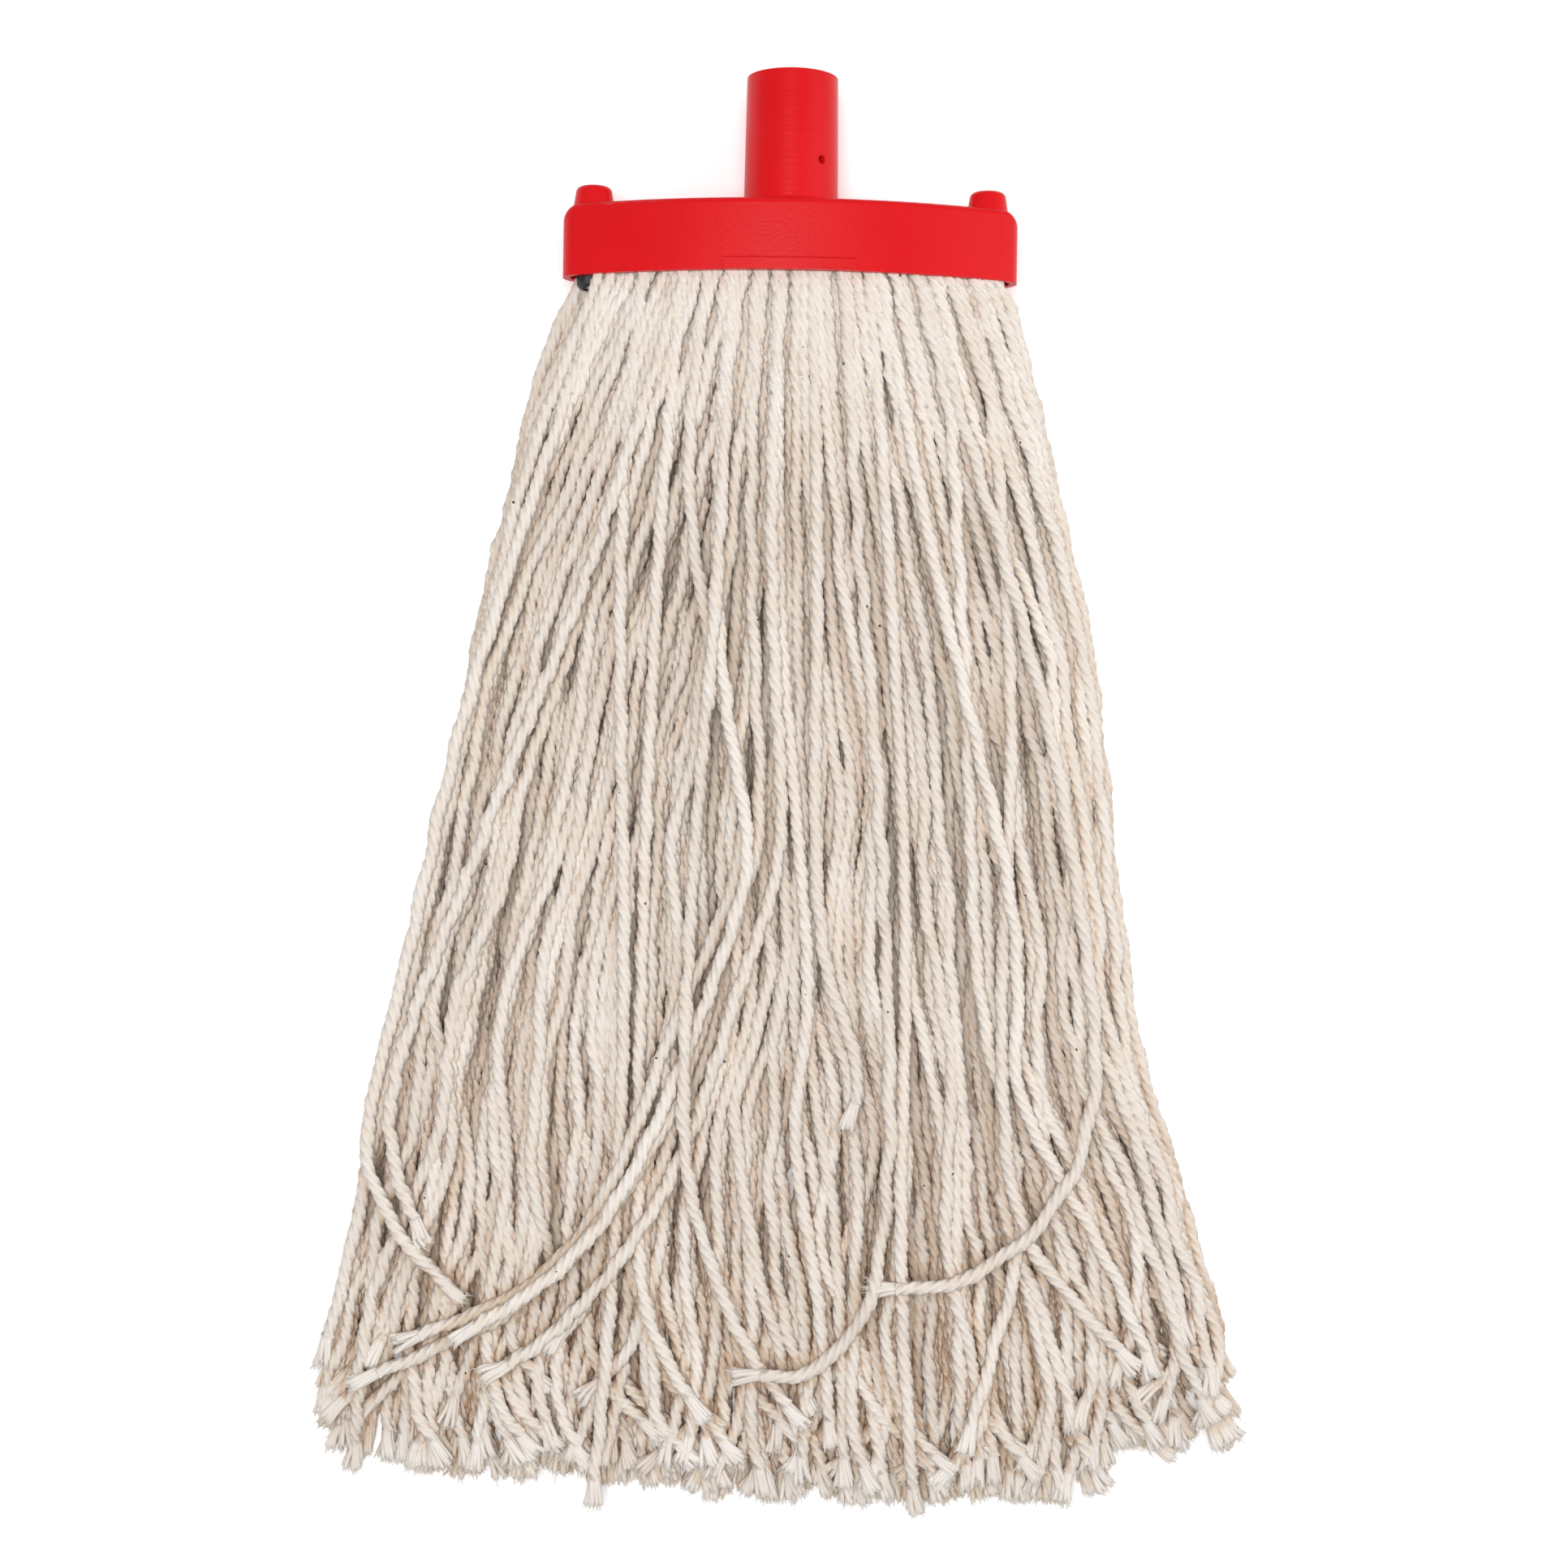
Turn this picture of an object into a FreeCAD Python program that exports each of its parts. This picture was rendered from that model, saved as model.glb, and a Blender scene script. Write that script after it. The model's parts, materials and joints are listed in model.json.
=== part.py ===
"""String mop head: a moulded cap with a handle socket, a clamp bar that two screws pull up
into the cap, and cotton yarn folded over the bar.

The mop lies flat on a table. Millimetres. X runs across the head, +Y runs from the yarn tips
to the handle socket, +Z is up. The origin is the centre of the footprint, on the table.

The yarn is folded over the bar, so it leaves the mouth of the cap in two lays, one on the
other, and both are divided side by side into hanks. The lower lay stays on the table. The
head stands up from it about a line just outside the mouth, and the upper lay lifts off it
about a line further out.
"""

import FreeCAD
import Part

import math
import os

V = FreeCAD.Vector

# Overall size
OVERALL_LENGTH = 510.0
SOCKET_HEIGHT = 46.0
CHANNEL_HEIGHT = 25.0

# Cap: a lens-shaped channel, open at the mouth
CHANNEL_HALF_WIDTH = 79.9
CHANNEL_HALF_DEPTH = 22.0
LENS_RADIUS = 198.0
WALL = 2.6
ROOF = 3.0
SHOULDER_RADIUS = 6.5
SHOULDER_OUTSET = 0.15  # the round starts this far outside the end, which leaves a faint edge
TOP_EDGE_RADIUS = 2.0
LIP_HALF_WIDTH = 23.0
LIP_HEIGHT = 4.3
LIP_PROUD = 0.8
LIP_EDGE = 0.5

# Handle socket and the hole for the screw that keeps the handle in
SOCKET_BASE_RADIUS = 16.6
SOCKET_TOP_RADIUS = 16.0
BORE_RADIUS = 12.7
BORE_DEPTH = 44.0
BORE_CHAMFER = 0.8
SOCKET_FILLET = 2.0
SCREW_HOLE_RADIUS = 1.5
SCREW_HOLE_ABOVE_CHANNEL = 15.0
SCREW_HOLE_ANGLE = 40.0

# Bosses, the posts under them, and the screws
BOSS_X = 69.3
BOSS_BASE_RADIUS = 7.2
BOSS_TOP_RADIUS = 6.1
BOSS_HEIGHT = 7.0
BOSS_SUNK = 7.0
BOSS_EDGE = 2.0
POST_RADIUS = 4.5
PILOT_RADIUS = 2.05
PILOT_ABOVE_CHANNEL = 4.5
SCREW_RADIUS = 2.0
SCREW_TIP = 2.0
SCREW_HEAD_RADIUS = 3.2
SCREW_HEAD_HEIGHT = 2.4
RECESS_WIDTH = 0.9
RECESS_LENGTH = 3.4
RECESS_DEPTH = 1.4

# Clamp bar
BAR_END = 75.0
BAR_HALF_THICKNESS = 4.0
BAR_HEIGHT = 10.0
BAR_BELOW_MOUTH = 4.0
BAR_HOLE_RADIUS = 2.25
BAR_COUNTERBORE_RADIUS = 3.35
BAR_COUNTERBORE_DEPTH = 2.8
BAR_END_CHAMFER = 3.0

# Yarn
HANKS = 8
GAP = 0.3
FOLD_HALF_WIDTH = 64.2
FOLD_CORNER = 12.0
ROOT_HALF_WIDTH = 76.8
ROOT_RADIUS = 14.0
UPPER_ROOT_RADIUS = 9.0
UPPER_LIFT = 60.0
# The skirt beyond the head's hinge line: distance, half-width, height of the split, top
UPPER_HINGE_STATION = (60.0, 96.0, 14.0, 32.0)
MIDDLE_STATION = (231.0, 132.0, 10.5, 22.0)
TIP_STATION = (420.7, 170.0, 9.0, 19.0)
TIP_SETBACK = [27.0, 10.0, 3.0, 0.0]  # outermost hank first, the same on both sides

# Places that follow from the sizes above
SOCKET_TOP_Y = OVERALL_LENGTH / 2
CHANNEL_TOP_Y = SOCKET_TOP_Y - SOCKET_HEIGHT
MOUTH_Y = CHANNEL_TOP_Y - CHANNEL_HEIGHT
ROOF_Y = CHANNEL_TOP_Y - ROOF
HEAD_Z = CHANNEL_HALF_DEPTH + LIP_PROUD
ARC_CENTRE = LENS_RADIUS - CHANNEL_HALF_DEPTH
BAR_Y = MOUTH_Y - BAR_BELOW_MOUTH
HINGE_Y = BAR_Y - GAP - ROOT_RADIUS
UPPER_HINGE_Y = HINGE_Y - UPPER_HINGE_STATION[0]
UPPER_HINGE_Z = UPPER_HINGE_STATION[2] + UPPER_ROOT_RADIUS

ALONG_X = V(1, 0, 0)
ALONG_Y = V(0, 1, 0)


def rod(radius, start, length, direction=ALONG_Y):
    return Part.makeCylinder(radius, length, start, direction)


def block(x0, x1, y0, y1, z0, z1):
    return Part.makeBox(x1 - x0, y1 - y0, z1 - z0, V(x0, y0, z0))


def end_radius():
    """Radius of the round that closes the lens, tangent to both of its arcs."""
    a, d, r = CHANNEL_HALF_WIDTH, ARC_CENTRE, LENS_RADIUS
    return (r * r - d * d - a * a) / (2 * (r - a))


def lens(inset, y0, y1):
    """The channel's outline, taken in by inset, as a solid from y0 to y1: two long arcs, and
    the two rounds that close them."""
    centre = CHANNEL_HALF_WIDTH - end_radius()
    radius = end_radius() - inset
    across = centre / (LENS_RADIUS - end_radius())
    up = ARC_CENTRE / (LENS_RADIUS - end_radius())
    x, z = centre + radius * across, radius * up
    depth = CHANNEL_HALF_DEPTH - inset
    corners = [
        V(-x, y0, HEAD_Z + z),
        V(x, y0, HEAD_Z + z),
        V(x, y0, HEAD_Z - z),
        V(-x, y0, HEAD_Z - z),
    ]
    middles = [
        V(0, y0, HEAD_Z + depth),
        V(centre + radius, y0, HEAD_Z),
        V(0, y0, HEAD_Z - depth),
        V(-centre - radius, y0, HEAD_Z),
    ]
    arcs = [
        Part.Arc(start, middle, end).toShape()
        for start, middle, end in zip(corners, middles, corners[1:] + corners[:1])
    ]
    return Part.Face(Part.Wire(arcs)).extrude(V(0, y1 - y0, 0))


def rounded_shoulders(inset, y0, y1):
    """A slab whose two upper corners are rounded as the channel's shoulders are."""
    half, radius = CHANNEL_HALF_WIDTH + SHOULDER_OUTSET - inset, SHOULDER_RADIUS - inset
    turn = radius * (1 - math.sqrt(0.5))
    left, right = V(-half, y1 - radius, 0), V(half, y1 - radius, 0)
    top_left, top_right = V(-half + radius, y1, 0), V(half - radius, y1, 0)
    edges = [
        Part.LineSegment(V(-half, y0, 0), left),
        Part.Arc(left, V(-half + turn, y1 - turn, 0), top_left),
        Part.LineSegment(top_left, top_right),
        Part.Arc(top_right, V(half - turn, y1 - turn, 0), right),
        Part.LineSegment(right, V(half, y0, 0)),
        Part.LineSegment(V(half, y0, 0), V(-half, y0, 0)),
    ]
    face = Part.Face(Part.Wire([e.toShape() for e in edges]))
    return face.extrude(V(0, 0, 2 * HEAD_Z))


def edges_at_y(shape, y, longer_than=0.0):
    """The edges that lie wholly in the plane at y."""
    return [
        e
        for e in shape.Edges
        if abs(e.BoundBox.YMin - y) < 1e-4
        and abs(e.BoundBox.YMax - y) < 1e-4
        and e.Length > longer_than
    ]


def boss(side):
    start = V(side * BOSS_X, CHANNEL_TOP_Y - BOSS_SUNK, HEAD_Z)
    slope = (BOSS_BASE_RADIUS - BOSS_TOP_RADIUS) / BOSS_HEIGHT
    bottom = BOSS_BASE_RADIUS + slope * BOSS_SUNK
    cone = Part.makeCone(bottom, BOSS_TOP_RADIUS, BOSS_SUNK + BOSS_HEIGHT, start, ALONG_Y)
    return cone.makeFillet(BOSS_EDGE, edges_at_y(cone, CHANNEL_TOP_Y + BOSS_HEIGHT))


def boss_outer():
    """Both bosses, trimmed so that their sunk ends stay inside the channel's outline."""
    room = block(-100, 100, CHANNEL_TOP_Y, CHANNEL_TOP_Y + BOSS_HEIGHT, 0, 2 * HEAD_Z)
    room = room.fuse(lens(0, MOUTH_Y, CHANNEL_TOP_Y))
    return [boss(side).common(room) for side in (-1, 1)]


def socket_tube():
    start = V(0, ROOF_Y, HEAD_Z)
    slope = (SOCKET_BASE_RADIUS - SOCKET_TOP_RADIUS) / SOCKET_HEIGHT
    bottom = SOCKET_BASE_RADIUS + slope * ROOF
    return Part.makeCone(bottom, SOCKET_TOP_RADIUS, SOCKET_HEIGHT + ROOF, start, ALONG_Y)


def grip_lip():
    """The raised lip at the middle of the mouth, front and back."""
    lip = lens(-LIP_PROUD, MOUTH_Y, MOUTH_Y + LIP_HEIGHT)
    lip = lip.common(
        block(-LIP_HALF_WIDTH, LIP_HALF_WIDTH, MOUTH_Y, MOUTH_Y + LIP_HEIGHT, -1, 99)
    )
    upper = edges_at_y(lip, MOUTH_Y + LIP_HEIGHT, LIP_HALF_WIDTH)
    return lip.makeChamfer(LIP_EDGE, upper)


def screw_hole():
    """The cutter for the hole through the socket's wall."""
    angle = math.radians(SCREW_HOLE_ANGLE)
    outward = V(math.sin(angle), 0, math.cos(angle))
    start = V(0, CHANNEL_TOP_Y + SCREW_HOLE_ABOVE_CHANNEL, HEAD_Z) + outward * 8
    return rod(SCREW_HOLE_RADIUS, start, 12, outward)


def head_cap():
    shell = lens(0, MOUTH_Y, CHANNEL_TOP_Y)
    shell = shell.common(rounded_shoulders(0, MOUTH_Y, CHANNEL_TOP_Y))
    shell = shell.makeFillet(
        TOP_EDGE_RADIUS, edges_at_y(shell, CHANNEL_TOP_Y, longer_than=50)
    )
    shell = shell.fuse(boss_outer()).removeSplitter()
    shell = shell.fuse(socket_tube()).removeSplitter()
    shell = shell.fuse(grip_lip()).removeSplitter()
    cavity = lens(WALL, MOUTH_Y - 1, ROOF_Y)
    shell = shell.cut(cavity.common(rounded_shoulders(WALL, MOUTH_Y - 1, ROOF_Y)))
    for side in (-1, 1):
        post = rod(POST_RADIUS, V(side * BOSS_X, BAR_Y + BAR_HEIGHT, HEAD_Z), 20)
        shell = shell.fuse(post.common(lens(WALL / 2, MOUTH_Y, ROOF_Y + 1)))
        pilot_end = CHANNEL_TOP_Y + PILOT_ABOVE_CHANNEL
        shell = shell.cut(
            rod(PILOT_RADIUS, V(side * BOSS_X, MOUTH_Y, HEAD_Z), pilot_end - MOUTH_Y)
        )
    shell = shell.removeSplitter()
    shell = shell.cut(rod(BORE_RADIUS, V(0, SOCKET_TOP_Y - BORE_DEPTH, HEAD_Z), BORE_DEPTH + 1))
    lead_in = Part.makeCone(
        BORE_RADIUS,
        BORE_RADIUS + 2 * BORE_CHAMFER,
        2 * BORE_CHAMFER,
        V(0, SOCKET_TOP_Y - BORE_CHAMFER, HEAD_Z),
        ALONG_Y,
    )
    shell = shell.cut(lead_in).cut(screw_hole())
    return soften(shell)


def soften(shell):
    """Rounds the corner between the socket and the channel."""
    near_socket = [
        e
        for e in edges_at_y(shell, CHANNEL_TOP_Y)
        if e.BoundBox.XMax < SOCKET_BASE_RADIUS + 1 and e.BoundBox.XMin > -SOCKET_BASE_RADIUS - 1
    ]
    return shell.makeFillet(SOCKET_FILLET, near_socket)


def clamp_bar():
    centre = BAR_END - BAR_HALF_THICKNESS
    bar = block(
        -centre,
        centre,
        BAR_Y,
        BAR_Y + BAR_HEIGHT,
        HEAD_Z - BAR_HALF_THICKNESS,
        HEAD_Z + BAR_HALF_THICKNESS,
    )
    for side in (-1, 1):
        bar = bar.fuse(rod(BAR_HALF_THICKNESS, V(side * centre, BAR_Y, HEAD_Z), BAR_HEIGHT))
    bar = bar.removeSplitter()
    ends = [e for e in edges_at_y(bar, BAR_Y) if abs(e.CenterOfMass.x) > centre]
    bar = bar.makeChamfer(BAR_END_CHAMFER / 2, ends)
    for side in (-1, 1):
        start = V(side * BOSS_X, BAR_Y, HEAD_Z)
        bar = bar.cut(rod(BAR_HOLE_RADIUS, start, BAR_HEIGHT))
        bar = bar.cut(rod(BAR_COUNTERBORE_RADIUS, start, BAR_COUNTERBORE_DEPTH))
    return bar


def clamp_screw(side):
    """A pan-head self-tapping screw with a cross recess, its head up inside the bar."""
    x = side * BOSS_X
    seat = BAR_Y + BAR_COUNTERBORE_DEPTH
    head = rod(SCREW_HEAD_RADIUS, V(x, seat - SCREW_HEAD_HEIGHT, HEAD_Z), SCREW_HEAD_HEIGHT)
    head = head.makeFillet(1.0, edges_at_y(head, seat - SCREW_HEAD_HEIGHT))
    tip_y = CHANNEL_TOP_Y + PILOT_ABOVE_CHANNEL - GAP
    shank = rod(SCREW_RADIUS, V(x, seat, HEAD_Z), tip_y - SCREW_TIP - seat)
    tip = Part.makeCone(SCREW_RADIUS, 0.4, SCREW_TIP, V(x, tip_y - SCREW_TIP, HEAD_Z), ALONG_Y)
    screw = head.fuse(shank).fuse(tip).removeSplitter()
    face = seat - SCREW_HEAD_HEIGHT
    long, short = RECESS_LENGTH / 2, RECESS_WIDTH / 2
    for dx, dz in ((long, short), (short, long)):
        screw = screw.cut(
            block(x - dx, x + dx, face - 1, face + RECESS_DEPTH, HEAD_Z - dz, HEAD_Z + dz)
        )
    return screw


def inner_half_depth(x):
    """Half the room between the channel's walls at x, inside the two long arcs."""
    return math.sqrt((LENS_RADIUS - WALL) ** 2 - x * x) - ARC_CENTRE


def yarn_fold(index):
    """One hank where it is folded over the clamp bar, inside the channel."""
    pitch = 2 * FOLD_HALF_WIDTH / HANKS
    x0 = -FOLD_HALF_WIDTH + index * pitch + GAP / 2
    x1 = x0 + pitch - GAP
    half = inner_half_depth(max(abs(x0), abs(x1))) - GAP
    top = ROOF_Y - GAP
    fold = block(x0, x1, MOUTH_Y, top, HEAD_Z - half, HEAD_Z + half)
    upper = [e for e in edges_at_y(fold, top) if e.BoundBox.XLength > 1]
    fold = fold.makeFillet(min(FOLD_CORNER, half - 1), upper)
    room = BAR_HALF_THICKNESS + GAP
    bar_top = BAR_Y + BAR_HEIGHT + GAP
    return fold.cut(block(x0, x1, MOUTH_Y, bar_top, HEAD_Z - room, HEAD_Z + room))


def shares(index):
    """Where a hank starts and ends across the skirt, from -1 at its left to 1 at its right."""
    return 2 * index / HANKS - 1, 2 * (index + 1) / HANKS - 1


def section(index, beyond, half_width, z0, z1):
    """A hank's rectangular outline at a distance beyond the head's hinge line."""
    x0, x1 = (share * half_width for share in shares(index))
    x0, x1, y = x0 + GAP / 2, x1 - GAP / 2, HINGE_Y - beyond
    corners = [V(x0, y, z0), V(x1, y, z0), V(x1, y, z1), V(x0, y, z1)]
    return Part.makePolygon(corners + corners[:1])


def root_radius(index):
    """A hank's half-thickness at the head's hinge line: less near the ends of the lens."""
    middle = ROOT_HALF_WIDTH * sum(shares(index)) / 2
    return min(ROOT_RADIUS, inner_half_depth(middle) - 1)


def tip_station(index):
    """The last station, moved back to where this hank's strands end."""
    setback = TIP_SETBACK[min(index, HANKS - 1 - index)]
    share = setback / (TIP_STATION[0] - MIDDLE_STATION[0])
    return [far + share * (near - far) for near, far in zip(MIDDLE_STATION, TIP_STATION)]


def nose(index, half_width, radius, y, z):
    """The half-round root of a hank, on the side towards the head."""
    x0, x1 = (share * half_width for share in shares(index))
    start = V(x0 + GAP / 2, y, z)
    length = x1 - x0 - GAP
    half = block(-200, 200, y, y + radius, 0, 99)
    return rod(radius, start, length, ALONG_X).common(half)


def upper_hank(index):
    stations = [UPPER_HINGE_STATION, MIDDLE_STATION, tip_station(index)]
    body = Part.makeLoft([section(index, *s) for s in stations], True, True)
    half_width = UPPER_HINGE_STATION[1]
    root = nose(index, half_width, UPPER_ROOT_RADIUS, UPPER_HINGE_Y, UPPER_HINGE_Z)
    return body.fuse(root).removeSplitter()


def upper_sweep():
    """The room that the upper lay's root takes up as it lifts."""
    start = V(-200, UPPER_HINGE_Y, UPPER_HINGE_Z)
    radius = UPPER_ROOT_RADIUS + GAP
    lifted = block(
        -200, 200, UPPER_HINGE_Y - 50, UPPER_HINGE_Y, start.z - radius, start.z + radius
    )
    lifted.rotate(start, ALONG_X, -UPPER_LIFT)
    return rod(radius, start, 400, ALONG_X).fuse(lifted)


def lower_hank(index):
    """The lower lay's hank, with the stretch near the head, where the lays are still one."""
    distance, half_width, _, top = UPPER_HINGE_STATION
    radius = root_radius(index)
    root = [
        section(index, 0, ROOT_HALF_WIDTH, HEAD_Z - radius, HEAD_Z + radius),
        section(index, distance, half_width, 0, top),
    ]
    stations = [UPPER_HINGE_STATION, MIDDLE_STATION, tip_station(index)]
    lower = [section(index, s[0], s[1], 0, s[2] - GAP) for s in stations]
    body = Part.makeLoft(root, True, True).fuse(Part.makeLoft(lower, True, True))
    body = body.fuse(nose(index, ROOT_HALF_WIDTH, radius, HINGE_Y, HEAD_Z))
    return body.cut(upper_sweep()).removeSplitter()


def export(name, shape):
    shape.exportStep(os.path.join("parts", name + ".step"))
    print(f"{name}: {len(shape.Solids)} solid, {shape.Volume / 1000:.2f} cm3, valid {shape.isValid()}")


def main():
    os.makedirs("parts", exist_ok=True)
    export("head_cap", head_cap())
    export("clamp_bar", clamp_bar())
    export("clamp_screw_left", clamp_screw(-1))
    export("clamp_screw_right", clamp_screw(1))
    for index in range(HANKS):
        export(f"yarn_fold_{index + 1}", yarn_fold(index))
        export(f"upper_hank_{index + 1}", upper_hank(index))
        export(f"lower_hank_{index + 1}", lower_hank(index))


main()
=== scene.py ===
"""Looks of the string mop head: the moulded cap keeps its CAD shape, and the skirt is built
strand by strand. Every strand is a twisted four-ply cotton yarn with a frayed end.
All sizes are in metres, in the frame of the CAD model.
"""

import json
import math

import bpy
import numpy as np
from mathutils import Euler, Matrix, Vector


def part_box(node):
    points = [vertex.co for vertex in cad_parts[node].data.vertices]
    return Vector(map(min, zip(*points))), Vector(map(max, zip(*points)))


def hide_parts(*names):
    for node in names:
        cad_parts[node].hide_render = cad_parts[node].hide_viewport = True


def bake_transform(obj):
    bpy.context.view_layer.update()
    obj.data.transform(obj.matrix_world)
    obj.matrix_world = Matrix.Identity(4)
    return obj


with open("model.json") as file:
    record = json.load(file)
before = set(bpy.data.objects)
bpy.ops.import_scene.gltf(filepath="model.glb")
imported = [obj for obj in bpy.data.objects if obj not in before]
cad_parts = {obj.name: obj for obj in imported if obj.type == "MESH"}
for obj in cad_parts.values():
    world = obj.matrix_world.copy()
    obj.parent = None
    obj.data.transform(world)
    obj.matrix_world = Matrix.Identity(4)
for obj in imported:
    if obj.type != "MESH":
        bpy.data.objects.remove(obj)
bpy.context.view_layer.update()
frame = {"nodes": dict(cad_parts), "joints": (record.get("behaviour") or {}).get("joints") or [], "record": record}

MM = 0.001
HANKS = 8

# Places read from the frame
JOINTS = {joint["name"]: joint for joint in frame["joints"]}
HINGE = Vector(JOINTS["head_tilt"]["pos_m"])
UPPER_HINGE = Vector(JOINTS["upper_lay_lift"]["pos_m"])
MOUTH_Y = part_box("head_cap")[0].y
SOCKET_ROOT_Y = MOUTH_Y + 25 * MM
TIP_Y = min(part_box(f"lower_hank_{i + 1}")[0].y for i in range(HANKS))
AXIS_Z = HINGE.z
REACH = MOUTH_Y - TIP_Y

# The yarn
STRAND_RADIUS = 2.45 * MM
END_SWELL = 1.06
PLIES = 4
POINTS_PER_PLY = 4
PLY_RELIEF = 0.85
LAY_LENGTH = 20 * MM
CONTROL_STEP = 14 * MM
TUFT_LENGTH = 13 * MM
FINGERS = 11
HAIRS_PER_FINGER = 4
MAX_CORDS = 40

# How the strands fill the mouth: columns side by side, rows above and below the bar
COLUMNS = 40
COLUMN_PITCH = 3.5 * MM
MOUTH_SHARE_LEFT, MOUTH_SHARE_RIGHT = 0.87, 1.0
INSIDE_SHARE = 0.88
ROW_PITCH = 4.1 * MM
BAR_HALF_THICKNESS = 4.0 * MM
INNER_RADIUS, INNER_OFFSET = 195.4 * MM, 176.0 * MM
START_INSIDE = 12 * MM

# How a fan strand runs: over FREE_LENGTH it gets looser, and its last part bends freely
FREE_LENGTH = 420 * MM
TAIL_LENGTH = 32 * MM
TAIL_BENDS = 3
LARGEST_SETBACK = 85 * MM

# The frayed ends: how far the single yarns and their hairs may stand off the strand's middle
FINGER_LIMIT = 3.3 * MM
HAIR_LIMIT = 4.2 * MM
HAIR_POINTS = 4

# Where painted shade darkens the cotton: from this depth in the pile, over these depths, and more towards the tips
PAINTED_SHADE_FROM = 2 * MM
DEEP_OVER, CREVICE_OVER = 7 * MM, 2.6 * MM
DEEP_AT_MOUTH, CREVICE_AT_MOUTH = 0.45, 0.25
TIPWARDS_FROM, TIPWARDS_OVER = 230 * MM, 210 * MM

# The colours of the painted shade in the depth of the pile, in crevices and in ply grooves, the stretch of the
# fibres along the yarn, and the seed specks
PAINTED_DEEP_SHADE = (0.89, 0.80, 0.69)
PAINTED_CREVICE_SHADE = (0.70, 0.49, 0.33)
PAINTED_GROOVE_SHADE = (0.94, 0.875, 0.80)
FIBRE_SCALE = (3200, 420, 1)
SPECK_RADIUS = 0.11
SPECK_SHARE = 0.035
SPECK_COLOUR = (0.11, 0.07, 0.04)

# The drawn lines on the socket
DRAWN_SCALE = (12, 420, 12)
DRAWN_SHARE = 1.6

# Camera and floor
CAMERA_PLACE = (0.6 * MM, 7 * MM, 0.93)
CAMERA_TURN = math.radians(0.85)
VIEW_WIDTH = 0.566
SENSOR_WIDTH = 36
FLOOR_HALF_SIZE = 40.0

# Half-width of the skirt on its left and right, at distances beyond the mouth, all in mm
OUTLINE_AT = [0, 30, 55, 78, 101, 124, 147, 170, 215, 261, 307, 352, 390, 440]
OUTLINE_LEFT = [77, 91, 97, 101, 108, 113, 117, 121, 130, 138.5, 146, 154, 159, 161]
OUTLINE_RIGHT = [77, 87, 94, 101.5, 106, 112, 115, 116.5, 122, 127.5, 142, 157, 166, 169]

rng = np.random.RandomState(11)


# ---------------------------------------------------------------- materials


def node_material(name):
    """A new material, its node tree and its shader."""
    material = bpy.data.materials.new(name)
    material.use_nodes = True
    tree = material.node_tree
    return material, tree, tree.nodes["Principled BSDF"]


def add(tree, kind, **settings):
    """A new node. Each setting is the value of an input, or else a property of the node."""
    node = tree.nodes.new(kind)
    for key, value in settings.items():
        if key in node.inputs:
            node.inputs[key].default_value = value
        else:
            setattr(node, key, value)
    return node


def feed(tree, socket, value):
    """Gives an input a value, or links another node's output to it."""
    if isinstance(value, bpy.types.NodeSocket):
        tree.links.new(value, socket)
    else:
        socket.default_value = value


def surface(tree, shader, settings):
    """Feeds the shader's inputs, by name."""
    for name, value in settings.items():
        feed(tree, shader.inputs[name], value)


def object_place(tree):
    """Coordinates that stay with the object."""
    return add(tree, "ShaderNodeTexCoord").outputs["Object"]


def attribute(tree, name):
    return add(tree, "ShaderNodeAttribute", attribute_name=name).outputs["Fac"]


def stretched(tree, place, scale):
    """Coordinates scaled differently along each axis."""
    node = add(tree, "ShaderNodeMapping", vector_type="POINT", Scale=scale)
    tree.links.new(place, node.inputs["Vector"])
    return node.outputs[0]


def noise(tree, place, **settings):
    node = add(tree, "ShaderNodeTexNoise", **settings)
    tree.links.new(place, node.inputs["Vector"])
    return node.outputs["Fac"]


def calculate(tree, operation, *values):
    node = add(tree, "ShaderNodeMath", operation=operation)
    for socket, value in zip(node.inputs, values):
        feed(tree, socket, value)
    return node.outputs[0]


def to_range(tree, source, low, high, start=0.0, end=1.0):
    """Maps start to low and end to high."""
    node = add(tree, "ShaderNodeMapRange")
    values = {"Value": source, "From Min": start, "From Max": end, "To Min": low, "To Max": high}
    for name, value in values.items():
        feed(tree, node.inputs[name], value)
    return node.outputs[0]


def ramp(tree, source, stops):
    """The colour that a source from 0 to 1 gives, between these (position, colour) stops."""
    node = add(tree, "ShaderNodeValToRGB")
    elements = node.color_ramp.elements
    while len(elements) < len(stops):
        elements.new(0.5)
    for element, (position, colour) in zip(elements, stops):
        element.position = position
        element.color = (*colour, 1)
    tree.links.new(source, node.inputs["Fac"])
    return node.outputs["Color"]


def mix(tree, mode, factor, a, b):
    """A colour mix; factor, a and b are sockets or values."""
    node = add(tree, "ShaderNodeMix", data_type="RGBA", blend_type=mode)
    for index, value in ((0, factor), (6, a), (7, b)):
        feed(tree, node.inputs[index], value)
    return node.outputs[2]


def bump(tree, height, strength, distance):
    node = add(tree, "ShaderNodeBump", Strength=strength, Distance=distance)
    tree.links.new(height, node.inputs["Height"])
    return node.outputs[0]


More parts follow.
